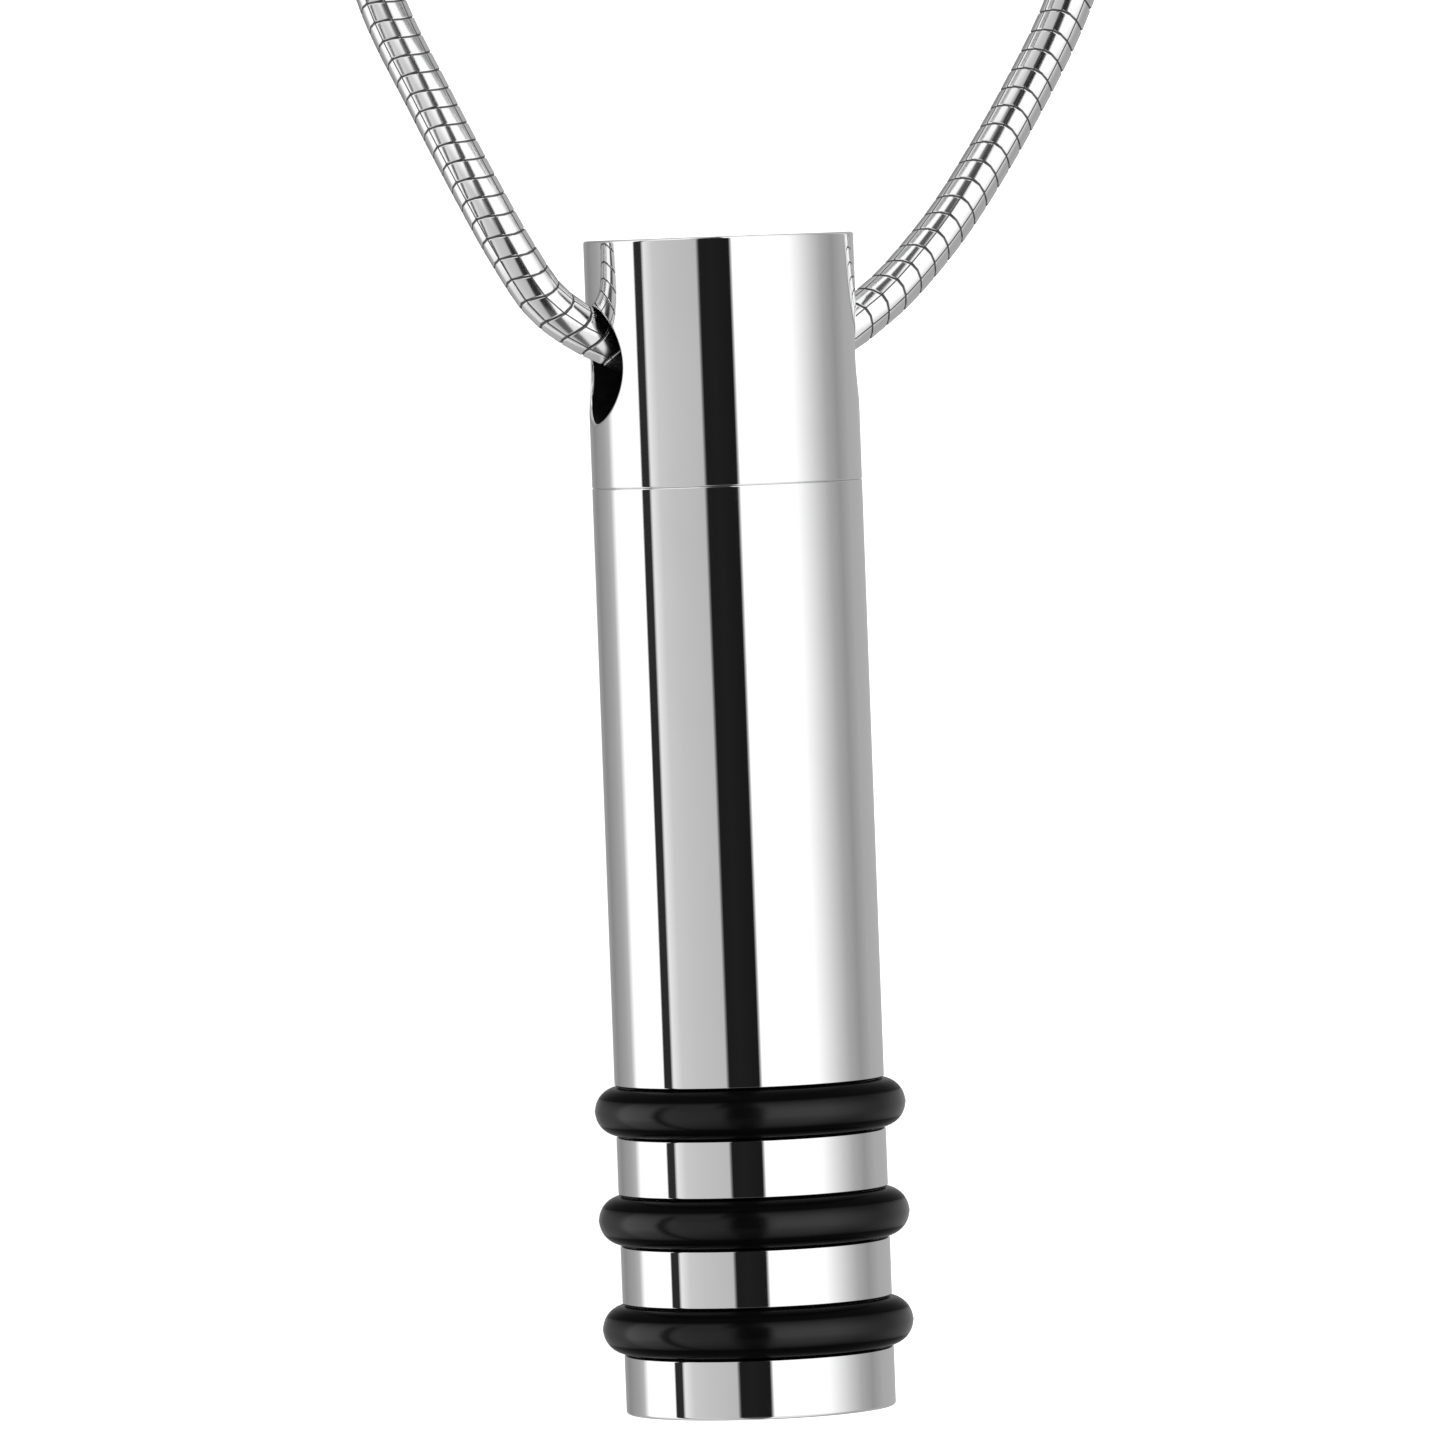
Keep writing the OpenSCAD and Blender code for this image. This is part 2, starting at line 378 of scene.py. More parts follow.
@dataclass(frozen=True)
class PaintedShadeSteel:
    """Unpolished steel, painted dark as painted shade in hollows; as it stands, the wall of the
    cross hole.
    """

    name: str = "bore_painted_shade"
    # tone and worn_tone are dark painted shade; the clouds only mottle them at random.
    tone: Colour = (0.012, 0.012, 0.012)
    worn_tone: Colour = (0.035, 0.035, 0.035)
    clouds: float = 3000.0
    roughness: tuple[float, float] = (0.4, 0.6)
    depth: float = 3e-6

    def material(self) -> bpy.types.Material:
        """Makes the material."""
        recipe = Recipe(self.name, metallic=1.0)
        mottle = recipe.noise((self.clouds, self.clouds, self.clouds))
        return recipe.dress(
            colour=recipe.blend(mottle, self.tone, self.worn_tone),
            roughness=recipe.ramp(mottle, 0.3, 0.7, *self.roughness),
            relief=recipe.bump(mottle, self.depth),
        )


# ---------------------------------------------------------------------------
# Mesh making
# ---------------------------------------------------------------------------


@dataclass
class Draft:
    """Points, normals and faces of a mesh that is being drawn, in millimetres."""

    points: list[Point] = field(default_factory=list)
    normals: list[Point] = field(default_factory=list)
    faces: list[tuple[int, ...]] = field(default_factory=list)
    finishes: list[int] = field(default_factory=list)
    known: dict[tuple, int] = field(default_factory=dict)

    def point(self, place: Point, normal: Point) -> int:
        """Adds a point, or finds the one that is already there with the same normal.

        Args:
            place: Where the point is.
            normal: The surface's normal there.

        Returns:
            The point's number.
        """
        length = math.sqrt(sum(c * c for c in normal)) or 1.0
        normal = tuple(c / length for c in normal)
        key = tuple(round(c, 5) for c in place) + tuple(round(c, 1) for c in normal)
        if key not in self.known:
            self.known[key] = len(self.points)
            self.points.append(place)
            self.normals.append(normal)
        return self.known[key]

    def face(self, corners: tuple[int, ...], finish: int = 0) -> None:
        """Adds a face unless it has shrunk to a line.

        Args:
            corners: The numbers of its points, in order.
            finish: Which of the piece's materials it takes.
        """
        kept = tuple(c for i, c in enumerate(corners) if c != corners[i - 1])
        if len(set(kept)) >= 3:
            self.faces.append(kept)
            self.finishes.append(finish)

    def sheet(self, rows: list[list[int]], closed: bool, finish: int = 0) -> None:
        """Joins rows of points into faces.

        Args:
            rows: Rows of point numbers, all of the same length.
            closed: Whether each row's last point joins its first.
            finish: Which of the piece's materials the faces take.
        """
        for near, far in zip(rows, rows[1:]):
            count = len(near)
            for i in range(count if closed else count - 1):
                j = (i + 1) % count
                self.face((near[i], near[j], far[j], far[i]), finish)

    def build(
        self, name: str, materials: list[bpy.types.Material], own_normals: bool = True
    ) -> bpy.types.Object:
        """Makes the Blender object.

        Args:
            name: The object's name.
            materials: The materials that the faces' finish numbers refer to.
            own_normals: Whether the drawn normals are kept; otherwise Blender smooths them.

        Returns:
            The new object.
        """
        mesh = bpy.data.meshes.new(name)
        mesh.from_pydata([tuple(c * MM for c in p) for p in self.points], [], self.faces)
        mesh.polygons.foreach_set("material_index", self.finishes)
        for material in materials:
            mesh.materials.append(material)
        mesh.update()
        mesh.shade_smooth()
        if own_normals:
            mesh.normals_split_custom_set_from_vertices(self.normals)
        item = bpy.data.objects.new(name, mesh)
        bpy.context.scene.collection.objects.link(item)
        log.info("%s: %d points, %d faces", name, len(self.points), len(self.faces))
        return item


@dataclass(frozen=True)
class Corner:
    """A corner of a turned profile: its radius from the axis, its place, and its rounding."""

    r: float
    y: float
    rounding: float = 0.0


def turned_profile(corners: list[Corner], steps: int = 6) -> list[tuple[float, ...]]:
    """Rounds a profile's corners and finds the surface's direction at each of its points.

    Args:
        corners: The profile's corners, with the solid on the right of the way along it.
        steps: How many short pieces each rounded corner has.

    Returns:
        Radius, place, and the normal's two parts, for each point.
    """
    done: list[tuple[float, ...]] = []

    def side(a: Corner, b: Corner) -> tuple[float, float]:
        """The direction that the surface between two corners faces."""
        way = Vector((b.r - a.r, b.y - a.y)).normalized()
        return (way.y, -way.x)

    for i, here in enumerate(corners):
        before = side(corners[i - 1], here) if i > 0 else None
        after = side(here, corners[i + 1]) if i + 1 < len(corners) else None
        if before is None or after is None:
            done.append((here.r, here.y, *(after or before)))
            continue
        if here.rounding <= 0:
            done.append((here.r, here.y, *before))
            done.append((here.r, here.y, *after))
            continue
        b, a = Vector(before), Vector(after)
        turn = math.acos(max(-1.0, min(1.0, b.dot(a))))
        outward = b.x * a.y - b.y * a.x > 0
        sign = 1.0 if outward else -1.0
        middle = Vector((here.r, here.y)) - sign * (b + a).normalized() * (
            here.rounding / math.cos(turn / 2)
        )
        for k in range(steps + 1):
            t = k / steps
            n = (b * math.sin((1 - t) * turn) + a * math.sin(t * turn)) / math.sin(turn)
            p = middle + sign * n * here.rounding
            done.append((p.x, p.y, n.x, n.y))
    return done


@dataclass(frozen=True)
class Axis:
    """A line that profiles are turned round; as it stands, the capsule's."""

    origin: Point = (0.0, 0.0, 5.76)
    ahead: Point = (0.0, 1.0, 0.0)
    upward: Point = (0.0, 0.0, 1.0)

    def direction(self, angle: float, out: float, along: float) -> Point:
        """A direction made of a part away from the axis and a part along it.

        Args:
            angle: The angle of the outward part, turned from upward about the axis.
            out: The length of the outward part.
            along: The length of the part along the axis.

        Returns:
            The direction.
        """
        ahead, upward = Vector(self.ahead), Vector(self.upward)
        outward = upward * math.cos(angle) + ahead.cross(upward) * math.sin(angle)
        return tuple(outward * out + ahead * along)

    def at(self, r: float, angle: float, y: float) -> Point:
        """The point at a radius, an angle from upward, and a place along the axis."""
        return tuple(Vector(self.origin) + Vector(self.direction(angle, r, y)))

    def turn(
        self,
        draft: Draft,
        profile: list[tuple[float, ...]],
        angles: list[float],
        finish: int = 0,
    ) -> None:
        """Turns a profile round the axis.

        Args:
            draft: The mesh to draw on.
            profile: The points that turned_profile gives.
            angles: The angles of the columns, for one full turn.
            finish: Which material the faces take.
        """
        rows = [
            [draft.point(self.at(r, a, y), self.direction(a, n_r, n_y)) for a in angles]
            for r, y, n_r, n_y in profile
        ]
        draft.sheet(rows, closed=True, finish=finish)


def full_turn(count: int) -> list[float]:
    """Evenly spaced angles for one full turn, in radians."""
    return [2 * math.pi * i / count for i in range(count)]


# ---------------------------------------------------------------------------
# Capsule
# ---------------------------------------------------------------------------


@dataclass
class Thread:
    """The screw thread that the stud and the barrel share."""

    pitch: float = 0.75
    outer_r: float = 3.5
    root_r: float = 3.08
    play: float = 0.05
    steepness: float = 1.45
    root_share: float = 0.22
    around: int = 96
    along: int = 110

    def radius(self, angle: float, y: float) -> float:
        """The male thread's radius.

        Args:
            angle: The angle from upward.
            y: The place along the axis.

        Returns:
            The radius there.
        """
        phase = (y / self.pitch - angle / (2 * math.pi)) % 1.0
        slope = (0.5 - abs(phase - 0.5)) * 2.0
        share = min(1.0, max(0.0, slope * self.steepness - self.root_share))
        return self.root_r + (self.outer_r - self.root_r) * share


@dataclass
class Cap:
    """The polished cap with its cross hole and its threaded stud."""

    axis: Axis
    thread: Thread
    r: float = 5.0
    bottom: float = 12.6
    top: float = 21.75
    top_rounding: float = 0.1
    joint_rounding: float = 0.06
    eye_y: float = 17.15
    eye_r: float = 2.15
    eye_turn: float = 16.0
    eye_rounding: float = 0.16
    patch: float = 3.0
    columns: int = 24
    columns_between: int = 32
    mouth_rows: int = 6
    edge_rows: int = 8
    hole_rows: int = 12
    face_r: float = 3.0
    stud_l: float = 4.4
    neck_l: float = 0.8
    run_out: float = 0.5
    tip_chamfer: float = 0.45

    def build(
        self, steel: bpy.types.Material, turned: bpy.types.Material, bored: bpy.types.Material
    ) -> None:
        """Makes the cap's shell and its stud.

        Args:
            steel: The finish outside.
            turned: The finish of the stud.
            bored: The finish of the cross hole's wall, near-black painted shade.
        """
        shell = self.shell().build("cap_shell", [steel, bored])
        settle(shell, Body.CAP, Slot.POLISHED, "cap")
        stud = self.stud().build("threaded_stud", [turned], own_normals=False)
        settle(stud, Body.CAP, Slot.TURNED, "cap_stud")

    def shell(self) -> Draft:
        """Draws the cap: its outside with both mouths, its end faces, and the cross hole."""
        draft = Draft()
        n, between = self.columns, self.columns_between
        half = math.asin(self.patch / self.r)
        left = math.radians(-90.0 + self.eye_turn)
        mouths = [left, left + math.pi]
        us = [self.patch * (2 * i / n - 1) for i in range(n + 1)]
        gap = [half + (math.pi - 2 * half) * i / between for i in range(between + 1)]
        low = [self.bottom + self.joint_rounding, self.eye_y - self.patch]
        mid = [self.eye_y + u for u in us]
        high = [self.eye_y + self.patch, self.top - self.top_rounding]
        angles: list[float] = []
        for start in mouths:
            over = [start + math.asin(u / self.r) for u in us]
            beside = [start + g for g in gap]
            angles += over[:-1] + beside[:-1]
            for rows in (low, high):
                self.wall(draft, over, rows)
            for rows in (low, mid, high):
                self.wall(draft, beside, rows)
        rims = [self.mouth(draft, start) for start in mouths]
        self.cross_hole(draft, rims)
        top = turned_profile(
            [
                Corner(self.r, self.top - 2.0),
                Corner(self.r, self.top, self.top_rounding),
                Corner(0.0, self.top),
            ]
        )[1:]
        joint = turned_profile(
            [
                Corner(self.face_r, self.bottom),
                Corner(self.r, self.bottom, self.joint_rounding),
                Corner(self.r, self.bottom + 1.0),
            ]
        )[:-1]
        self.axis.turn(draft, top, angles)
        self.axis.turn(draft, joint, angles)
        return draft

    def wall(self, draft: Draft, angles: list[float], rows: list[float]) -> None:
        """Draws a piece of the cap's outside wall.

        Args:
            draft: The mesh to draw on.
            angles: The angles of its columns.
            rows: The places of its rows along the axis.
        """
        wall = [
            [
                draft.point(self.axis.at(self.r, a, y), (math.sin(a), 0.0, math.cos(a)))
                for a in angles
            ]
            for y in rows
        ]
        draft.sheet(wall, closed=False)

    def on_wall(self, start: float, u: float, v: float) -> tuple[Point, Point]:
        """A point of the outside wall, seen along the cross hole.

        Args:
            start: The angle of the mouth.
            u: Distance beside the hole's axis.
            v: Distance above the hole's axis, along the capsule.

        Returns:
            The point and its normal.
        """
        a = start + math.asin(u / self.r)
        return self.axis.at(self.r, a, self.eye_y + v), (math.sin(a), 0.0, math.cos(a))

    def mouth(self, draft: Draft, start: float) -> list[tuple[Point, Point]]:
        """Draws the wall round one mouth of the cross hole and the mouth's rounded edge.

        Args:
            draft: The mesh to draw on.
            start: The mouth's angle.

        Returns:
            The inner end of the rounded edge: points and normals.
        """
        n = self.columns
        total = 4 * n
        wide = self.eye_r + self.eye_rounding
        rows: list[list[int]] = []
        for k in range(self.mouth_rows + 1):
            s = k / self.mouth_rows
            row = []
            for j, angle in enumerate(full_turn(total)):
                q = (j + n // 2) % total
                along = (q % n) / (n / 2) - 1.0
                edge = [(1.0, along), (-along, 1.0), (-1.0, -along), (along, -1.0)][q // n]
                u = edge[0] * self.patch * (1 - s) + wide * math.cos(angle) * s
                v = edge[1] * self.patch * (1 - s) + wide * math.sin(angle) * s
                row.append(draft.point(*self.on_wall(start, u, v)))
            rows.append(row)
        draft.sheet(rows, closed=True)
        return self.mouth_edge(draft, start, rows[-1])

    def mouth_edge(
        self, draft: Draft, start: float, outer: list[int]
    ) -> list[tuple[Point, Point]]:
        """Draws the rounded edge of one mouth of the cross hole.

        Args:
            draft: The mesh to draw on.
            start: The mouth's angle.
            outer: The point numbers of the edge's outer end.

        Returns:
            The edge's inner end: points and normals.
        """
        wide = self.eye_r + self.eye_rounding
        out = Vector((math.sin(start), 0.0, math.cos(start)))
        side = Vector((math.cos(start), 0.0, -math.sin(start)))
        rim: list[tuple[Point, Point]] = []
        rows = [outer]
        for k in range(1, self.edge_rows + 1):
            t = k / self.edge_rows
            row = []
            for angle in full_turn(len(outer)):
                cu, cv = math.cos(angle), math.sin(angle)
                start_p, start_n = self.on_wall(start, wide * cu, wide * cv)
                corner_p, _ = self.on_wall(start, self.eye_r * cu, self.eye_r * cv)
                end_p = Vector(corner_p) - out * self.eye_rounding
                end_n = -(side * cu + Vector((0.0, cv, 0.0)))
                p = (
                    Vector(start_p) * (1 - t) ** 2
                    + Vector(corner_p) * 2 * t * (1 - t)
                    + end_p * t**2
                )
                normal = Vector(start_n) * (1 - t) + end_n * t
                row.append(draft.point(tuple(p), tuple(normal)))
                if k == self.edge_rows:
                    rim.append((tuple(end_p), tuple(end_n)))
            rows.append(row)
        draft.sheet(rows, closed=True)
        return rim

    def cross_hole(self, draft: Draft, rims: list[list[tuple[Point, Point]]]) -> None:
        """Draws the wall of the cross hole between its two mouths, in the near-black finish that
        paints its shade.

        Args:
            draft: The mesh to draw on.
            rims: The inner ends of the two rounded edges.
        """
        first, second = rims
        total = len(first)
        rows = []
        for k in range(self.hole_rows + 1):
            t = k / self.hole_rows
            row = []
            for j in range(total):
                near, normal = first[j]
                far, _ = second[(total // 2 - j) % total]
                p = Vector(near) * (1 - t) + Vector(far) * t
                row.append(draft.point(tuple(p), normal))
            rows.append(row)
        # Finish 1 paints the hole's wall near-black: painted shade.
        draft.sheet(rows, closed=True, finish=1)

    def stud(self) -> Draft:
        """Draws the threaded stud below the cap."""
        draft = Draft()
        tip = self.bottom - self.stud_l
        shoulder = self.bottom - self.neck_l
        thread = self.thread
        rows = []
        for k in range(thread.along + 1):
            y = self.bottom - self.stud_l * k / thread.along
            row = []
            for a in full_turn(thread.around):
                t = min(1.0, max(0.0, (shoulder - y) / self.run_out))
                r = thread.outer_r * (1 - t) + thread.radius(a, y) * t
                r = min(r, thread.outer_r - max(0.0, self.tip_chamfer - (y - tip)))
                row.append(draft.point(self.axis.at(r, a, y), (0.0, 0.0, 1.0)))
            rows.append(row)
        draft.sheet(rows, closed=True)
        middle = draft.point(self.axis.at(0.0, 0.0, tip), (0.0, -1.0, 0.0))
        last = rows[-1]
        for i, corner in enumerate(last):
            draft.face((corner, last[(i + 1) % len(last)], middle))
        return draft


@dataclass
class Barrel:
    """The polished barrel: its shell with three ring grooves, and its thread."""

    axis: Axis
    thread: Thread
    r: float = 5.0
    base: float = -21.75
    joint: float = 12.6
    grooves: tuple[float, ...] = (-18.6, -14.55, -10.5)
    groove_r: float = 3.93
    groove_half: float = 0.93
    columns: int = 160
    bore_r: float = 3.1
    floor: float = -19.55
    seat_r: float = 4.3
    seat_depth: float = 0.78
    bore_l: float = 5.2
    lead_in: float = 0.35

    def build(self, steel: bpy.types.Material, turned: bpy.types.Material) -> None:
        """Makes the shell and the thread.

        Args:
            steel: The finish of the shell.
            turned: The finish of the thread.
        """
        shell = self.shell().build("barrel_shell", [steel])
        settle(shell, Body.BARREL, Slot.POLISHED, "barrel")
        inner = self.lining().build("barrel_thread", [turned], own_normals=False)
        settle(inner, Body.BARREL, Slot.TURNED)

    def shell(self) -> Draft:
        """Draws the outside, the grooves, the end faces and the chamber."""
        draft = Draft()
        mouth_r = self.thread.outer_r + self.thread.play
        outside = [Corner(0.0, self.base), Corner(self.r, self.base, 0.12)]
        for y in self.grooves:
            outside += [
                Corner(self.r, y - self.groove_half, 0.09),
                Corner(self.groove_r, y - self.groove_half),
                Corner(self.groove_r, y + self.groove_half),
                Corner(self.r, y + self.groove_half, 0.09),
            ]
        outside += [
            Corner(self.r, self.joint, 0.06),
            Corner(self.seat_r, self.joint, 0.05),
            Corner(self.seat_r, self.joint - self.seat_depth),
            Corner(mouth_r, self.joint - self.seat_depth),
        ]
        chamber = [
            Corner(mouth_r, self.joint - self.bore_l),
            Corner(self.bore_r, self.joint - self.bore_l),
            Corner(self.bore_r, self.floor, 0.3),
            Corner(0.0, self.floor),
        ]
        for corners in (outside, chamber):
            self.axis.turn(draft, turned_profile(corners), full_turn(self.columns))
        return draft

    def lining(self) -> Draft:
        """Draws the female thread inside the barrel's mouth."""
        draft = Draft()
        top = self.joint - self.seat_depth
        bottom = self.joint - self.bore_l
        thread = self.thread
        rows = []
        for k in range(thread.along + 1):
            y = top + (bottom - top) * k / thread.along
            row = []
            for a in full_turn(thread.around):
                t = min(1.0, max(0.0, (top - y) / self.lead_in))
                r = thread.outer_r * (1 - t) + thread.radius(a, y) * t + thread.play
                row.append(draft.point(self.axis.at(r, a, y), (0.0, 0.0, 1.0)))
            rows.append(row)
        draft.sheet(rows, closed=True)
        return draft


@dataclass
class RubberRing:
    """A moulded rubber ring round the capsule's axis."""

    axis: Axis
    node: str
    body: Body
    slot: Slot
    y: float
    middle_r: float = 4.86
    cord_r: float = 0.9
    flash: float = 0.012
    flash_width: float = 0.06
    around: int = 160
    across: int = 40

    def build(self, rubber: bpy.types.Material) -> None:
        """Makes the ring with the thin line that its mould leaves.

        Args:
            rubber: Its finish.
        """
        draft = Draft()
        profile = []
        for t in full_turn(self.across):
            line = math.exp(-((math.sin(t) / self.flash_width) ** 2)) * self.flash
            r = self.middle_r + (self.cord_r + line) * math.cos(t)
            y = self.y + self.cord_r * math.sin(t)
            profile.append((r, y, math.cos(t), math.sin(t)))
        self.axis.turn(draft, [*profile, profile[0]], full_turn(self.around))
        ring = draft.build(f"{self.node}_rubber", [rubber])
        settle(ring, self.body, self.slot, self.node)


# ---------------------------------------------------------------------------
# Chain
# ---------------------------------------------------------------------------


@dataclass
class Route:
    """The middle line of the chain, from one end cap to the other."""

    coil_x: float = 0.6
    coil_y: float = 46.5
    outer_r: float = 12.15
    turn_step: float = 1.85
    lower_z: float = 0.9
    upper_z: float = 2.7
    lower_turn: float = 1080.0
    upper_turn: float = 990.0
    turn_part: float = 15.0
    fine_step: float = 0.05
    step: float = 0.02
    in_hole: Point = (-0.15, 17.0, 5.35)
    run: tuple[Point, ...] = (
        (-11.55, 46.5, 0.9), (-12.0, 42.4, 0.9), (-12.8, 38.6, 0.95), (-13.05, 34.8, 1.3),
        (-12.2, 31.0, 2.4), (-10.5, 27.2, 4.3), (-8.7, 23.5, 6.4), (-7.6, 21.4, 7.3),
        (-6.5, 19.65, 7.6), (-5.6, 18.85, 7.45), (-4.5, 18.17, 7.05),
        (-2.95, 17.5, 6.4), (-1.55, 17.15, 5.8), (-0.15, 17.0, 5.35), (1.3, 17.1, 5.0),
        (2.8, 17.45, 4.7), (4.4, 18.05, 4.35),
        (5.4, 18.75, 4.0), (6.4, 19.55, 3.6), (8.0, 21.25, 2.8), (9.2, 22.8, 2.2),
        (11.5, 26.4, 1.2), (13.4, 30.0, 0.9), (14.7, 34.0, 0.95), (14.8, 38.2, 1.5),
        (13.6, 42.4, 2.3), (12.75, 46.5, 2.7),
    )
    left_tail: tuple[Point, ...] = (
        (-6.6, 0, 0.9), (-5.2, 3.0, 0.9), (-2.3, 4.9, 1.0), (1.2, 4.8, 1.5), (4.0, 2.7, 2.4),
        (4.8, -0.6, 3.3), (3.2, -3.7, 4.2), (-0.3, -5.6, 4.65), (-4.4, -6.0, 4.7),
        (-8.0, -4.0, 4.7), (-9.9, -0.4, 4.8), (-9.8, 2.8, 5.0), (-8.4, 5.7, 5.2),
    )
    right_tail: tuple[Point, ...] = (
        (0, -7.05, 2.7), (3.3, -6.3, 3.2), (6.2, -4.1, 4.0), (8.3, -0.9, 4.5),
        (9.0, 2.4, 4.8), (8.2, 5.7, 5.2),
    )

    def turns(self, total: float, start: float, way: float, z: float) -> list[Point]:
        """Points of one layer of the coil, from its outside inwards.

        Args:
            total: How far the layer is wound, in degrees.
            start: The angle of its first point.
            way: 1 for anticlockwise seen from above, -1 for clockwise.
            z: The height of the layer's middle.

        Returns:
            The layer's points.
        """
        made = []
        count = int(total / self.turn_part)
        for k in range(count + 1):
            wound = total * k / count
            a = math.radians(start + way * wound)
            r = self.outer_r - self.turn_step * wound / 360
            made.append((self.coil_x + r * math.cos(a), self.coil_y + r * math.sin(a), z))
        return made

    def corners(self) -> list[Point]:
        """The points that the middle line runs through."""
        lower = self.turns(self.lower_turn, 180.0, -1.0, self.lower_z)
        upper = self.turns(self.upper_turn, 0.0, 1.0, self.upper_z)
        left = [(x + self.coil_x, y + self.coil_y, z) for x, y, z in self.left_tail]
        right = [(x + self.coil_x, y + self.coil_y, z) for x, y, z in self.right_tail]
        return [
            *reversed(left[1:]), *reversed(lower[1:]), *self.run, *upper[1:], *right[1:]
        ]

    def line(self) -> np.ndarray:
        """The middle line as evenly spaced points, in millimetres."""
        p = np.array(self.corners(), float)
        p = np.vstack([2 * p[0] - p[1], p, 2 * p[-1] - p[-2]])
        knots = np.concatenate(
            [[0.0], np.cumsum(np.sqrt(np.linalg.norm(np.diff(p, axis=0), axis=1)))]
        )
        parts = []
        for i in range(1, len(p) - 2):
            t0, t1, t2, t3 = knots[i - 1 : i + 3]
            count = max(4, int(np.linalg.norm(p[i + 1] - p[i]) / self.fine_step))
            t = np.linspace(t1, t2, count, endpoint=False)[:, None]
            a1 = (t1 - t) / (t1 - t0) * p[i - 1] + (t - t0) / (t1 - t0) * p[i]
            a2 = (t2 - t) / (t2 - t1) * p[i] + (t - t1) / (t2 - t1) * p[i + 1]
            a3 = (t3 - t) / (t3 - t2) * p[i + 1] + (t - t2) / (t3 - t2) * p[i + 2]
            b1 = (t2 - t) / (t2 - t0) * a1 + (t - t0) / (t2 - t0) * a2
            b2 = (t3 - t) / (t3 - t1) * a2 + (t - t1) / (t3 - t1) * a3
            parts.append((t2 - t) / (t2 - t1) * b1 + (t - t1) / (t2 - t1) * b2)
        dense = np.vstack([*parts, p[-2:-1]])
        gone = np.concatenate([[0.0], np.cumsum(np.linalg.norm(np.diff(dense, axis=0), axis=1))])
        even = np.linspace(0.0, gone[-1], int(gone[-1] / self.step) + 1)
        return np.stack([np.interp(even, gone, dense[:, k]) for k in range(3)], axis=1)


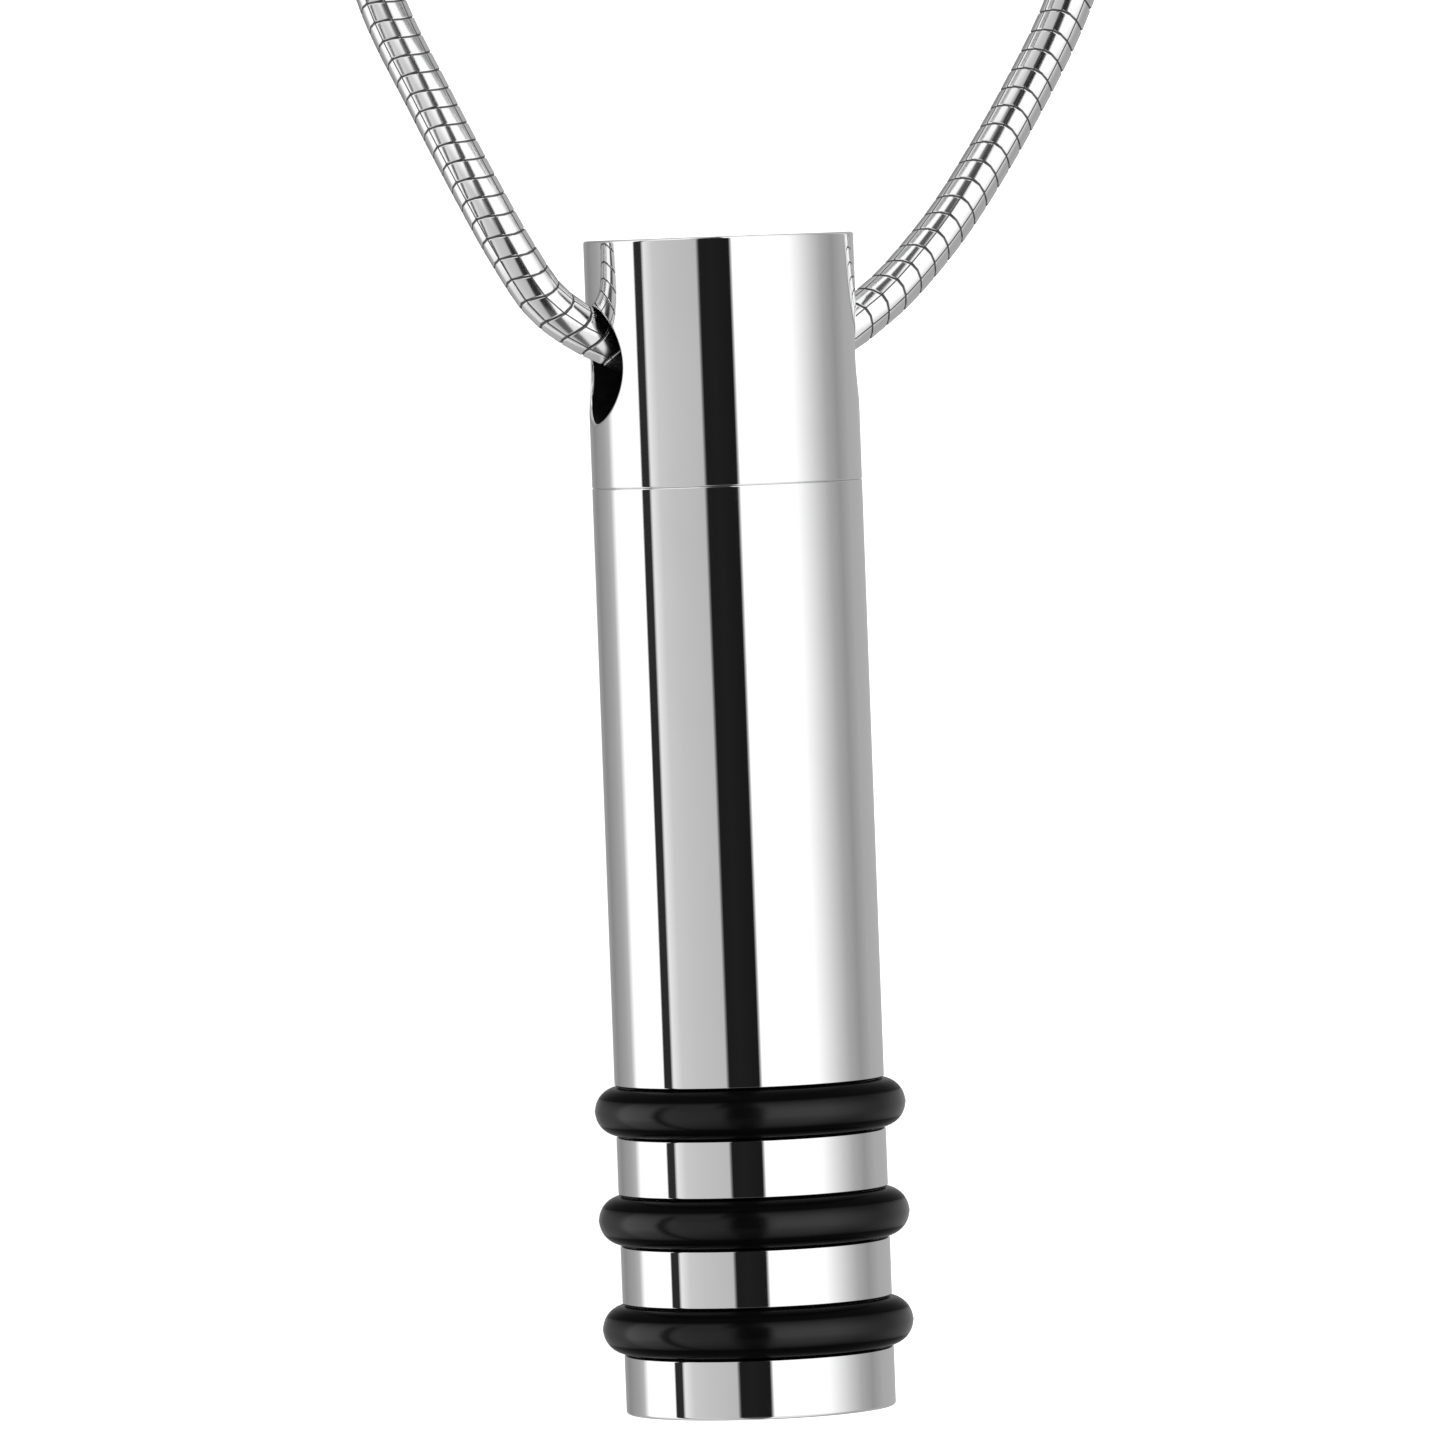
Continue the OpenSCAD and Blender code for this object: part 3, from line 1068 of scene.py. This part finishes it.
@dataclass
class SnakeChain:
    """A round snake chain: short polished links with waved seams and lengthwise grooves."""

    route: Route
    r: float = 0.885
    link: float = 0.83
    wave: float = 0.19
    twist: float = 0.65
    twist_over: float = 6.0
    columns: int = 8
    groove: float = 1.7
    groove_depth: float = 0.035
    groove_start: float = -9.0
    shape: tuple[tuple[float, float, float], ...] = (
        (0.0, 0.93, 0.0), (0.05, 0.98, -30.0), (0.09, 0.998, -1.5), (0.91, 0.998, 1.5),
        (0.95, 0.98, 30.0),
    )
    tilt: float = 0.5

    def build(
        self,
        steel: bpy.types.Material,
        shade: bpy.types.Material,
        with_pieces: list[bpy.types.Object],
    ) -> bpy.types.Object:
        """Makes the chain.

        Args:
            steel: The links' material.
            shade: The seams' and grooves' material, darker steel that paints their shade.
            with_pieces: Not used.

        Returns:
            The chain.
        """
        line = self.route.line()
        rows, outward = self.rows(line)
        mesh = self.skin(rows)
        mesh.materials.append(steel)
        mesh.materials.append(shade)
        mesh.update()
        mesh.shade_smooth()
        mesh.normals_split_custom_set_from_vertices(np.vstack(outward).tolist())
        chain = bpy.data.objects.new("snake_chain", mesh)
        bpy.context.scene.collection.objects.link(chain)
        settle(
            chain, Body.CAP, Slot.CHAIN,
            "chain_run", "coil_lower", "coil_upper", "chain_tail_left", "chain_tail_right",
        )
        return chain

    def columns_round(self) -> np.ndarray:
        """The angles of the points round a link, four to a column, the first in its groove."""
        width, edge = 360.0 / self.columns, self.groove
        angles = [
            width * c + a
            for c in range(self.columns)
            for a in (0, edge, width / 2, width - edge)
        ]
        return np.radians(angles) + math.radians(self.groove_start)

    def rows(self, line: np.ndarray) -> tuple[list[np.ndarray], list[np.ndarray]]:
        """Lays the rows of points of every link along the middle line.

        Args:
            line: The middle line.

        Returns:
            The rows of points, and the rows of their normals.
        """
        length = (len(line) - 1) * self.route.step
        gone = np.linspace(0.0, length, len(line))
        ahead = np.gradient(line, axis=0)
        ahead /= np.linalg.norm(ahead, axis=1)[:, None]
        hole = gone[np.argmin(np.linalg.norm(line - np.array(self.route.in_hole), axis=1))]
        angles = self.columns_round()
        in_groove = np.arange(len(angles)) % 4 == 0
        reach = self.r * (1.0 - self.groove_depth * in_groove)[:, None]
        count = int(length / self.link)
        chance = random.Random(7)
        rows, outward = [], []
        for i in range(count):
            lean = chance.uniform(0.0, 2 * math.pi)
            amount = math.radians(chance.gauss(0.0, self.tilt))
            for share, scale, slope in self.shape:
                s = (i + share) * length / count
                left = min(1.0, max(0.0, (hole - s) / self.twist_over + 0.5))
                wave = self.wave * np.cos(2 * (angles + self.twist * left))
                at = np.clip(s + wave, 0.0, length)
                centre = np.stack([np.interp(at, gone, line[:, k]) for k in range(3)], axis=1)
                t = np.stack([np.interp(at, gone, ahead[:, k]) for k in range(3)], axis=1)
                side = np.cross(t, [0.0, 0.0, 1.0])
                side /= np.linalg.norm(side, axis=1)[:, None]
                up = np.cross(side, t)
                out = np.cos(angles)[:, None] * up + np.sin(angles)[:, None] * side
                rows.append(centre + out * reach * scale)
                rock = math.radians(slope) + amount * np.cos(angles - lean)
                outward.append(out * np.cos(rock)[:, None] + t * np.sin(rock)[:, None])
        return rows, outward

    def skin(self, rows: list[np.ndarray]) -> bpy.types.Mesh:
        """Joins the rows into the chain's mesh, with the seams and grooves in a darker finish:
        painted shade.

        Args:
            rows: The rows of points.

        Returns:
            The mesh.
        """
        faces, finishes = [], []
        sides, per_link = len(rows[0]), len(self.shape)
        for row in range(len(rows) - 1):
            seam = row % per_link in (0, per_link - 1)
            here, there = row * sides, (row + 1) * sides
            for k in range(sides):
                j = (k + 1) % sides
                faces.append((here + k, here + j, there + j, there + k))
                # Seam and groove faces take finish 1, darker steel: painted shade between the
                # links.
                finishes.append(1 if seam or k % 4 in (0, 3) else 0)
        last = (len(rows) - 1) * sides
        faces.append(tuple(range(sides)))
        faces.append(tuple(reversed(range(last, last + sides))))
        # The two end faces take the painted-shade finish as well.
        finishes += [1, 1]
        mesh = bpy.data.meshes.new("snake_chain")
        mesh.from_pydata((np.vstack(rows) * MM).tolist(), [], faces)
        mesh.polygons.foreach_set("material_index", finishes)
        return mesh


# ---------------------------------------------------------------------------
# Clasp
# ---------------------------------------------------------------------------


def hoop_profile(
    middle_r: float, half_width: float, half_height: float, steps: int = 20
) -> list[tuple[float, ...]]:
    """The profile of a ring with a round or oval section, for turning.

    Args:
        middle_r: The radius of the section's middle.
        half_width: Half the section's size away from the axis.
        half_height: Half its size along the axis.
        steps: How many points it has.

    Returns:
        Radius, place, and the normal's two parts, for each point.
    """
    done = [
        (
            middle_r + half_width * math.cos(t), half_height * math.sin(t),
            math.cos(t) / half_width, math.sin(t) / half_height,
        )
        for t in full_turn(steps)
    ]
    return [*done, done[0]]


def draw_bar(draft: Draft, path: list[Point], r: float, sides: int = 28) -> None:
    """Draws a round bar along level points, with a rounded far end.

    Args:
        draft: The mesh to draw on.
        path: The middle line, at one height.
        r: The bar's radius.
        sides: How many sides it has.
    """
    points = [Vector(p) for p in path]
    last = (points[-1] - points[-2]).normalized()
    stops = [(p, r, 0.0) for p in points]
    for k in range(1, 9):
        t = math.pi / 2 * k / 8
        stops.append((points[-1] + last * r * math.sin(t), r * math.cos(t), math.sin(t)))
    rows = []
    for i, (middle, radius, lean) in enumerate(stops):
        near, far = stops[max(0, i - 1)][0], stops[min(len(stops) - 1, i + 1)][0]
        way = (far - near).normalized()
        side = way.cross(Vector((0.0, 0.0, 1.0)))
        up = side.cross(way)
        row = []
        for a in full_turn(sides):
            out = up * math.cos(a) + side * -math.sin(a)
            normal = out * math.sqrt(1 - lean * lean) + way * lean
            row.append(draft.point(tuple(middle + out * radius), tuple(normal)))
        rows.append(row)
    draft.sheet(rows[::-1], closed=True)


@dataclass
class Fitting:
    """One metal piece of the clasp or of the chain's ends, which replaces its plain node."""

    node: str
    body: Body
    draft: Draft = field(default_factory=Draft)

    def turned(self, axis: Axis, profile: list[tuple[float, ...]], sides: int = 72) -> None:
        """Turns a profile onto the piece.

        Args:
            axis: The line that it is turned round.
            profile: The points that turned_profile or hoop_profile gives.
            sides: How many columns it has.
        """
        axis.turn(self.draft, profile, full_turn(sides))

    def finish(self, steel: bpy.types.Material) -> bpy.types.Object:
        """Makes the piece.

        Args:
            steel: Its material.

        Returns:
            The piece.
        """
        piece = self.draft.build(f"{self.node}_polished", [steel])
        settle(piece, self.body, Slot.CLASP, self.node)
        return piece


@dataclass
class Clasp:
    """The spring clasp and the fittings on the chain's two ends."""

    frame: dict
    route: Route
    middle: Point = (0.6, 54.45, 5.2)
    heading: float = 60.0
    root: Point = (-1.6, 0.2, 0.0)
    pin: Point = (-1.6, -0.9, 0.0)
    tab: Point = (-0.7, -2.65, 0.0)
    lever_tip: Point = (3.35, -2.05, 0.0)
    hook: Point = (2.6, 0.0, 0.0)
    hook_r: float = 2.1
    back_r: float = 2.47
    back_half: float = 0.56

    def place(self, from_middle: Point) -> Point:
        """A place measured from the middle of the clasp."""
        return tuple(Vector(self.middle) + Vector(from_middle))

    def upright(self, from_middle: Point) -> Axis:
        """A vertical axis at a place measured from the middle of the clasp."""
        return Axis(self.place(from_middle), (0.0, 0.0, 1.0), (1.0, 0.0, 0.0))

    def end_cap(self, node: str, end: Point, heading: float) -> Fitting:
        """The tube that grips an end of the chain, with its beaded rims and its eyelet.

        Args:
            node: The node that it replaces.
            end: The end of the chain.
            heading: The direction that it points, in degrees from +X.

        Returns:
            The fitting.
        """
        piece = Fitting(node, Body.CAP)
        way = (math.cos(math.radians(heading)), math.sin(math.radians(heading)), 0.0)
        sleeve = [
            Corner(0.93, -1.5), Corner(0.93, -3.0), Corner(1.19, -3.0, 0.09),
            Corner(1.19, -2.62, 0.06), Corner(1.1, -2.54, 0.03), Corner(1.1, -2.44, 0.03),
            Corner(1.19, -2.36, 0.06), Corner(1.19, 0.36, 0.06), Corner(1.1, 0.44, 0.03),
            Corner(1.1, 0.54, 0.03), Corner(1.19, 0.62, 0.06), Corner(1.19, 0.95, 0.2),
            Corner(0.75, 1.19, 0.3), Corner(0.36, 1.34, 0.1), Corner(0.36, 2.0),
        ]
        piece.turned(Axis(end, way), turned_profile(sleeve))
        eyelet = tuple(Vector(end) + Vector(way) * 2.6)
        piece.turned(Axis(eyelet, (0.0, 0.0, 1.0), way), hoop_profile(0.7, 0.25, 0.4))
        return piece

    def wire_ring(self, node: str, body: Body, at: Point, middle_r: float, r: float) -> Fitting:
        """A wire ring that stands on edge along the clasp.

        Args:
            node: The node that it replaces.
            body: The body that it rides on.
            at: Its middle, measured from the middle of the clasp.
            middle_r: The radius to the middle of the wire.
            r: The wire's radius.

        Returns:
            The fitting.
        """
        piece = Fitting(node, body)
        piece.turned(Axis(self.place(at)), hoop_profile(middle_r, r, r))
        return piece

    def claw(self) -> Fitting:
        """The clasp's body: two round cheeks on a back, the hook, and the eye at its heel."""
        piece = Fitting("clasp_body", Body.CAP)
        axis = self.upright(self.root)
        for low, high in ((-1.2, -0.55), (0.55, 1.2)):
            cheek = [
                Corner(0.0, low), Corner(2.5, low, 0.22 if low < 0 else 0.05),
                Corner(2.5, high, 0.05 if low < 0 else 0.22), Corner(0.0, high),
            ]
            piece.turned(axis, turned_profile(cheek), 96)
        self.back(piece.draft, axis)
        piece.turned(self.upright((-4.9, 0.0, 0.0)), hoop_profile(0.725, 0.225, 0.44))
        bend = [math.radians(90 - 140 * k / 40) for k in range(41)]
        x, y, _ = self.hook
        r = self.hook_r
        path = [(start, y + r, 0.0) for start in (-1.2, 0.0, 1.3)]
        path += [(x + r * math.cos(a), y + r * math.sin(a), 0.0) for a in bend]
        draw_bar(piece.draft, [self.place(p) for p in path], 0.55)
        return piece

    def back(self, draft: Draft, axis: Axis) -> None:
        """Draws the solid half between the cheeks, behind the lever's slot.

        Args:
            draft: The mesh to draw on.
            axis: The upright line through the middle of the cheeks.
        """
        arc = [math.pi * k / 40 for k in range(41)]
        heights = (-self.back_half, self.back_half)
        curved = [
            [
                draft.point(axis.at(self.back_r, a, z), axis.direction(a, 1.0, 0.0))
                for a in arc
            ]
            for z in heights
        ]
        flat = [
            [draft.point(axis.at(self.back_r, a, z), (0.0, -1.0, 0.0)) for a in (math.pi, 0.0)]
            for z in heights
        ]
        for rows in (curved, flat):
            draft.sheet(rows, closed=False)

    def lever(self) -> Fitting:
        """The spring lever: its hub on the pin, its bar to the hook, and its thumb tab."""
        piece = Fitting("clasp_lever", Body.LEVER)
        hub = [
            Corner(0.39, -0.3), Corner(0.85, -0.3, 0.08), Corner(0.85, 0.3, 0.08),
            Corner(0.39, 0.3), Corner(0.39, -0.3),
        ]
        piece.turned(self.upright(self.pin), turned_profile(hub))
        tab = [
            Corner(0.0, -0.3), Corner(0.55, -0.3, 0.12), Corner(0.55, 0.3, 0.12),
            Corner(0.0, 0.3),
        ]
        piece.turned(self.upright(self.tab), turned_profile(tab))
        start = (self.pin[0] + 0.5, self.pin[1] - 0.4, 0.0)
        draw_bar(piece.draft, [self.place(start), self.place(self.lever_tip)], 0.45)
        neck = ((-0.7, -2.6, 0.0), (-1.0, -1.7, 0.0))
        draw_bar(piece.draft, [self.place(p) for p in neck], 0.29)
        return piece

    def rivet(self) -> Fitting:
        """The pin that the lever turns on, with its two domed ends."""
        piece = Fitting("clasp_pin", Body.CAP)
        rivet = [
            Corner(0.0, -1.26), Corner(0.34, -1.22, 0.06), Corner(0.34, 1.22, 0.06),
            Corner(0.0, 1.26),
        ]
        piece.turned(self.upright(self.pin), turned_profile(rivet), 48)
        return piece

    def pieces(
        self, steel: bpy.types.Material, wire: bpy.types.Material
    ) -> list[bpy.types.Object]:
        """Makes the fittings and dresses the spring.

        Args:
            steel: The polished finish.
            wire: The spring's finish.

        Returns:
            Everything that goes with the chain.
        """
        corners = self.route.corners()
        made = [
            self.end_cap("end_cap_left", corners[0], self.heading),
            self.end_cap("end_cap_right", corners[-1], 180.0 - self.heading),
            self.wire_ring("jump_ring", Body.JUMP_RING, (-6.0, 0.0, 0.0), 1.1, 0.25),
            self.wire_ring("catch_ring", Body.CATCH_RING, (5.3, 0.0, 0.35), 1.6, 0.3),
            self.claw(),
            self.lever(),
            self.rivet(),
        ]
        spring = self.frame["nodes"]["clasp_spring"]
        spring.data.materials.clear()
        spring.data.materials.append(wire)
        return [*(piece.finish(steel) for piece in made), spring]


# ---------------------------------------------------------------------------
# Studio
# ---------------------------------------------------------------------------


@dataclass(frozen=True)
class Panel:
    """A place on the light tent: its angle from straight up towards +X, and its brightness."""

    angle: float
    light: float


@dataclass(frozen=True)
class End:
    """An end of the light tent: where it starts along Y, where it is whole, and its panels."""

    start: float
    full: float
    panels: tuple[Panel, ...]


@dataclass
class Studio:
    """The camera, the floor and the light tent."""

    eye: Point = (-0.5, 21.75, 526.0)
    target: Point = (-0.5, 3.76, 5.77)
    upward: Point = (0.037, 0.999, 0.0)
    half_width: float = 26.76
    panels: tuple[Panel, ...] = (
        Panel(-180.0, 0.42), Panel(-150.0, 0.26), Panel(-128.0, 0.37), Panel(-119.0, 0.48),
        Panel(-112.0, 1.10), Panel(-78.4, 1.12), Panel(-77.4, 0.025), Panel(-69.6, 0.025),
        Panel(-68.4, 0.86), Panel(-59.0, 0.62), Panel(-45.0, 0.57), Panel(-19.0, 0.52),
        Panel(-17.9, 0.012), Panel(-7.0, 0.014), Panel(9.4, 0.010), Panel(10.6, 1.15),
        Panel(60.0, 1.13), Panel(73.0, 0.85), Panel(84.0, 0.63), Panel(97.0, 0.42),
        Panel(112.0, 0.31), Panel(130.0, 0.41), Panel(180.0, 0.47),
    )
    ends: tuple[End, ...] = (
        End(-0.16, -0.45, (
            Panel(-180.0, 0.42), Panel(-119.0, 0.45), Panel(-112.0, 0.80), Panel(-78.4, 0.80),
            Panel(-77.4, 0.05), Panel(-69.6, 0.05), Panel(-68.4, 0.70), Panel(-19.0, 0.45),
            Panel(-17.9, 0.09), Panel(9.4, 0.09), Panel(10.6, 0.85), Panel(60.0, 0.85),
            Panel(97.0, 0.40), Panel(180.0, 0.42),
        )),
        End(0.45, 0.80, (
            Panel(-180.0, 0.52), Panel(-110.0, 0.60), Panel(-80.0, 1.10), Panel(-31.0, 1.10),
            Panel(-28.0, 0.08), Panel(4.0, 0.08), Panel(7.0, 1.10), Panel(80.0, 1.10),
            Panel(110.0, 0.60), Panel(180.0, 0.52),
        )),
    )
    floor_glow: float = 0.86
    floor_half: float = 2500.0
    floor_z: float = -0.03

    def camera(self) -> None:
        """Sets the camera above the pendant, level with the cap's end."""
        eye, target = Vector(self.eye) * MM, Vector(self.target) * MM
        away = (eye - target).normalized()
        right = Vector(self.upward).cross(away).normalized()
        up = away.cross(right)
        data = bpy.data.cameras.new("camera")
        data.sensor_width = 36.0
        data.lens = 18.0 * (eye - target).length / (self.half_width * MM)
        data.clip_start, data.clip_end = 0.01, 50.0
        item = bpy.data.objects.new("camera", data)
        turned = Matrix((right, up, away)).transposed().to_4x4()
        item.matrix_world = Matrix.Translation(eye) @ turned
        bpy.context.scene.collection.objects.link(item)
        bpy.context.scene.camera = item
        log.info("camera: %.0f mm lens", data.lens)

    def tent(self) -> None:
        """Hangs the light tent: long panels that run along the pendant."""
        world = bpy.data.worlds.new("light_tent")
        bpy.context.scene.world = world
        world.use_nodes = True
        tree = world.node_tree
        tree.nodes.clear()
        out = tree.nodes.new("ShaderNodeOutputWorld")
        place = tree.nodes.new("ShaderNodeTexCoord")
        parts = tree.nodes.new("ShaderNodeSeparateXYZ")
        tree.links.new(place.outputs["Generated"], parts.inputs[0])
        angle = tree.nodes.new("ShaderNodeMath")
        angle.operation = "ARCTAN2"
        tree.links.new(parts.outputs["X"], angle.inputs[0])
        tree.links.new(parts.outputs["Z"], angle.inputs[1])
        share = tree.nodes.new("ShaderNodeMapRange")
        share.inputs["From Min"].default_value = -math.pi
        share.inputs["From Max"].default_value = math.pi
        tree.links.new(angle.outputs[0], share.inputs["Value"])
        shown = self.row(tree, share.outputs["Result"], self.panels)
        for end in self.ends:
            after = self.row(tree, share.outputs["Result"], end.panels)
            shown = self.fade(tree, parts.outputs["Y"], end, shown, after)
        seen = tree.nodes.new("ShaderNodeBackground")
        tree.links.new(shown, seen.inputs["Color"])
        plain = tree.nodes.new("ShaderNodeBackground")
        plain.inputs["Color"].default_value = (1.0, 1.0, 1.0, 1.0)
        path = tree.nodes.new("ShaderNodeLightPath")
        pick = tree.nodes.new("ShaderNodeMixShader")
        tree.links.new(path.outputs["Is Camera Ray"], pick.inputs["Fac"])
        tree.links.new(seen.outputs[0], pick.inputs[1])
        tree.links.new(plain.outputs[0], pick.inputs[2])
        tree.links.new(pick.outputs[0], out.inputs["Surface"])
        log.info("light tent: %d panels", len(self.panels))

    def row(
        self, tree: bpy.types.NodeTree, share: bpy.types.NodeSocket, panels: tuple[Panel, ...]
    ) -> bpy.types.NodeSocket:
        """Hangs one row of panels round the pendant's axis.

        Args:
            tree: The world's nodes.
            share: The direction's share of the whole turn.
            panels: The panels, by rising angle.

        Returns:
            The row's light.
        """
        ramp = tree.nodes.new("ShaderNodeValToRGB")
        tree.links.new(share, ramp.inputs["Fac"])
        stops = ramp.color_ramp.elements
        while len(stops) < len(panels):
            stops.new(0.5)
        for stop, panel in zip(stops, panels):
            stop.position = panel.angle / 360.0 + 0.5
            stop.color = (panel.light, panel.light, panel.light, 1.0)
        return ramp.outputs["Color"]

    def fade(
        self,
        tree: bpy.types.NodeTree,
        value: bpy.types.NodeSocket,
        end: End,
        before: bpy.types.NodeSocket,
        after: bpy.types.NodeSocket,
    ) -> bpy.types.NodeSocket:
        """Fades the tent to the panels at its end.

        Args:
            tree: The world's nodes.
            value: What the fade follows.
            end: Where it starts and where it is complete.
            before: The tent's light before the fade.
            after: The light after it.

        Returns:
            The faded light.
        """
        share = tree.nodes.new("ShaderNodeMapRange")
        share.interpolation_type = "SMOOTHSTEP"
        share.inputs["From Min"].default_value = end.start
        share.inputs["From Max"].default_value = end.full
        tree.links.new(value, share.inputs["Value"])
        mix = tree.nodes.new("ShaderNodeMix")
        mix.data_type = "RGBA"
        colours = [s for s in mix.inputs if s.type == "RGBA"]
        tree.links.new(share.outputs["Result"], mix.inputs["Factor"])
        tree.links.new(before, colours[0])
        tree.links.new(after, colours[1])
        return next(o for o in mix.outputs if o.type == "RGBA")

    def floor(self) -> None:
        """Lays the pale floor that the pendant lies on."""
        recipe = Recipe("pale_floor")
        shade = recipe.noise((40.0, 40.0, 40.0))
        recipe.join(
            recipe.blend(shade, (0.93, 0.93, 0.93), (0.95, 0.95, 0.95)),
            recipe.shader.inputs["Base Color"],
        )
        recipe.shader.inputs["Roughness"].default_value = 0.9
        recipe.shader.inputs["Specular IOR Level"].default_value = 0.0
        recipe.shader.inputs["Emission Color"].default_value = (1.0, 1.0, 1.0, 1.0)
        recipe.shader.inputs["Emission Strength"].default_value = self.floor_glow
        draft = Draft()
        half, z = self.floor_half, self.floor_z
        corners = [(-half, -half), (half, -half), (half, half), (-half, half)]
        draft.face(tuple(draft.point((x, y, z), (0.0, 0.0, 1.0)) for x, y in corners))
        ground = draft.build("pale_floor", [recipe.material])
        ground.visible_glossy = False

    def tones(self) -> None:
        """Keeps the tones as they are lit."""
        bpy.context.scene.view_settings.view_transform = "Standard"
        bpy.context.scene.view_settings.look = "None"


def main() -> None:
    """Builds the pendant and its studio in order."""
    logging.basicConfig(level=logging.INFO, format="%(name)s: %(message)s")
    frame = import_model()

    studio = Studio()
    studio.camera()
    steel = MirrorSteel().material()
    turned = TurnedSteel().material()
    rubber = BlackRubber().material()
    seal_rubber = BlackRubber(
        name="seal_rubber", tone=(0.012, 0.012, 0.012), worn_tone=(0.03, 0.03, 0.03),
        roughness=(0.45, 0.6), matt_r=3.5, shiny_r=4.2,
    ).material()
    chain_steel = MirrorSteel(
        name="chain_steel", clean_roughness=0.13, smudged_roughness=0.18, line_depth=1e-8
    ).material()
    clasp_steel = MirrorSteel(
        name="clasp_steel", tone=(0.88, 0.88, 0.885), smudged_tone=(0.82, 0.82, 0.825),
        clean_roughness=0.05, smudged_roughness=0.14,
    ).material()
    # Darker steel on the chain's seams and grooves: painted shade between the links.
    shade = PaintedShadeSteel(
        name="seam_shade", tone=(0.10, 0.10, 0.10), worn_tone=(0.20, 0.20, 0.20),
        clouds=5000.0, roughness=(0.35, 0.55), depth=2e-6,
    ).material()

    route = Route()
    fittings = Clasp(frame, route).pieces(clasp_steel, turned)
    SnakeChain(route).build(chain_steel, shade, fittings)

    axis, thread = Axis(), Thread()
    # The cross hole's wall takes near-black steel: painted shade.
    Cap(axis, thread).build(steel, turned, PaintedShadeSteel().material())
    barrel = Barrel(axis, thread)
    barrel.build(steel, turned)
    for name, y in zip(("bottom", "middle", "top"), barrel.grooves):
        RubberRing(axis, f"o_ring_{name}", Body.BARREL, Slot.RUBBER, y).build(rubber)
    RubberRing(
        axis, "seal_ring", Body.SEAL, Slot.SEAL, 12.21, middle_r=3.92, cord_r=0.34, flash=0.0
    ).build(seal_rubber)

    studio.tent()
    studio.floor()
    studio.tones()


if __name__ == "__main__":
    main()
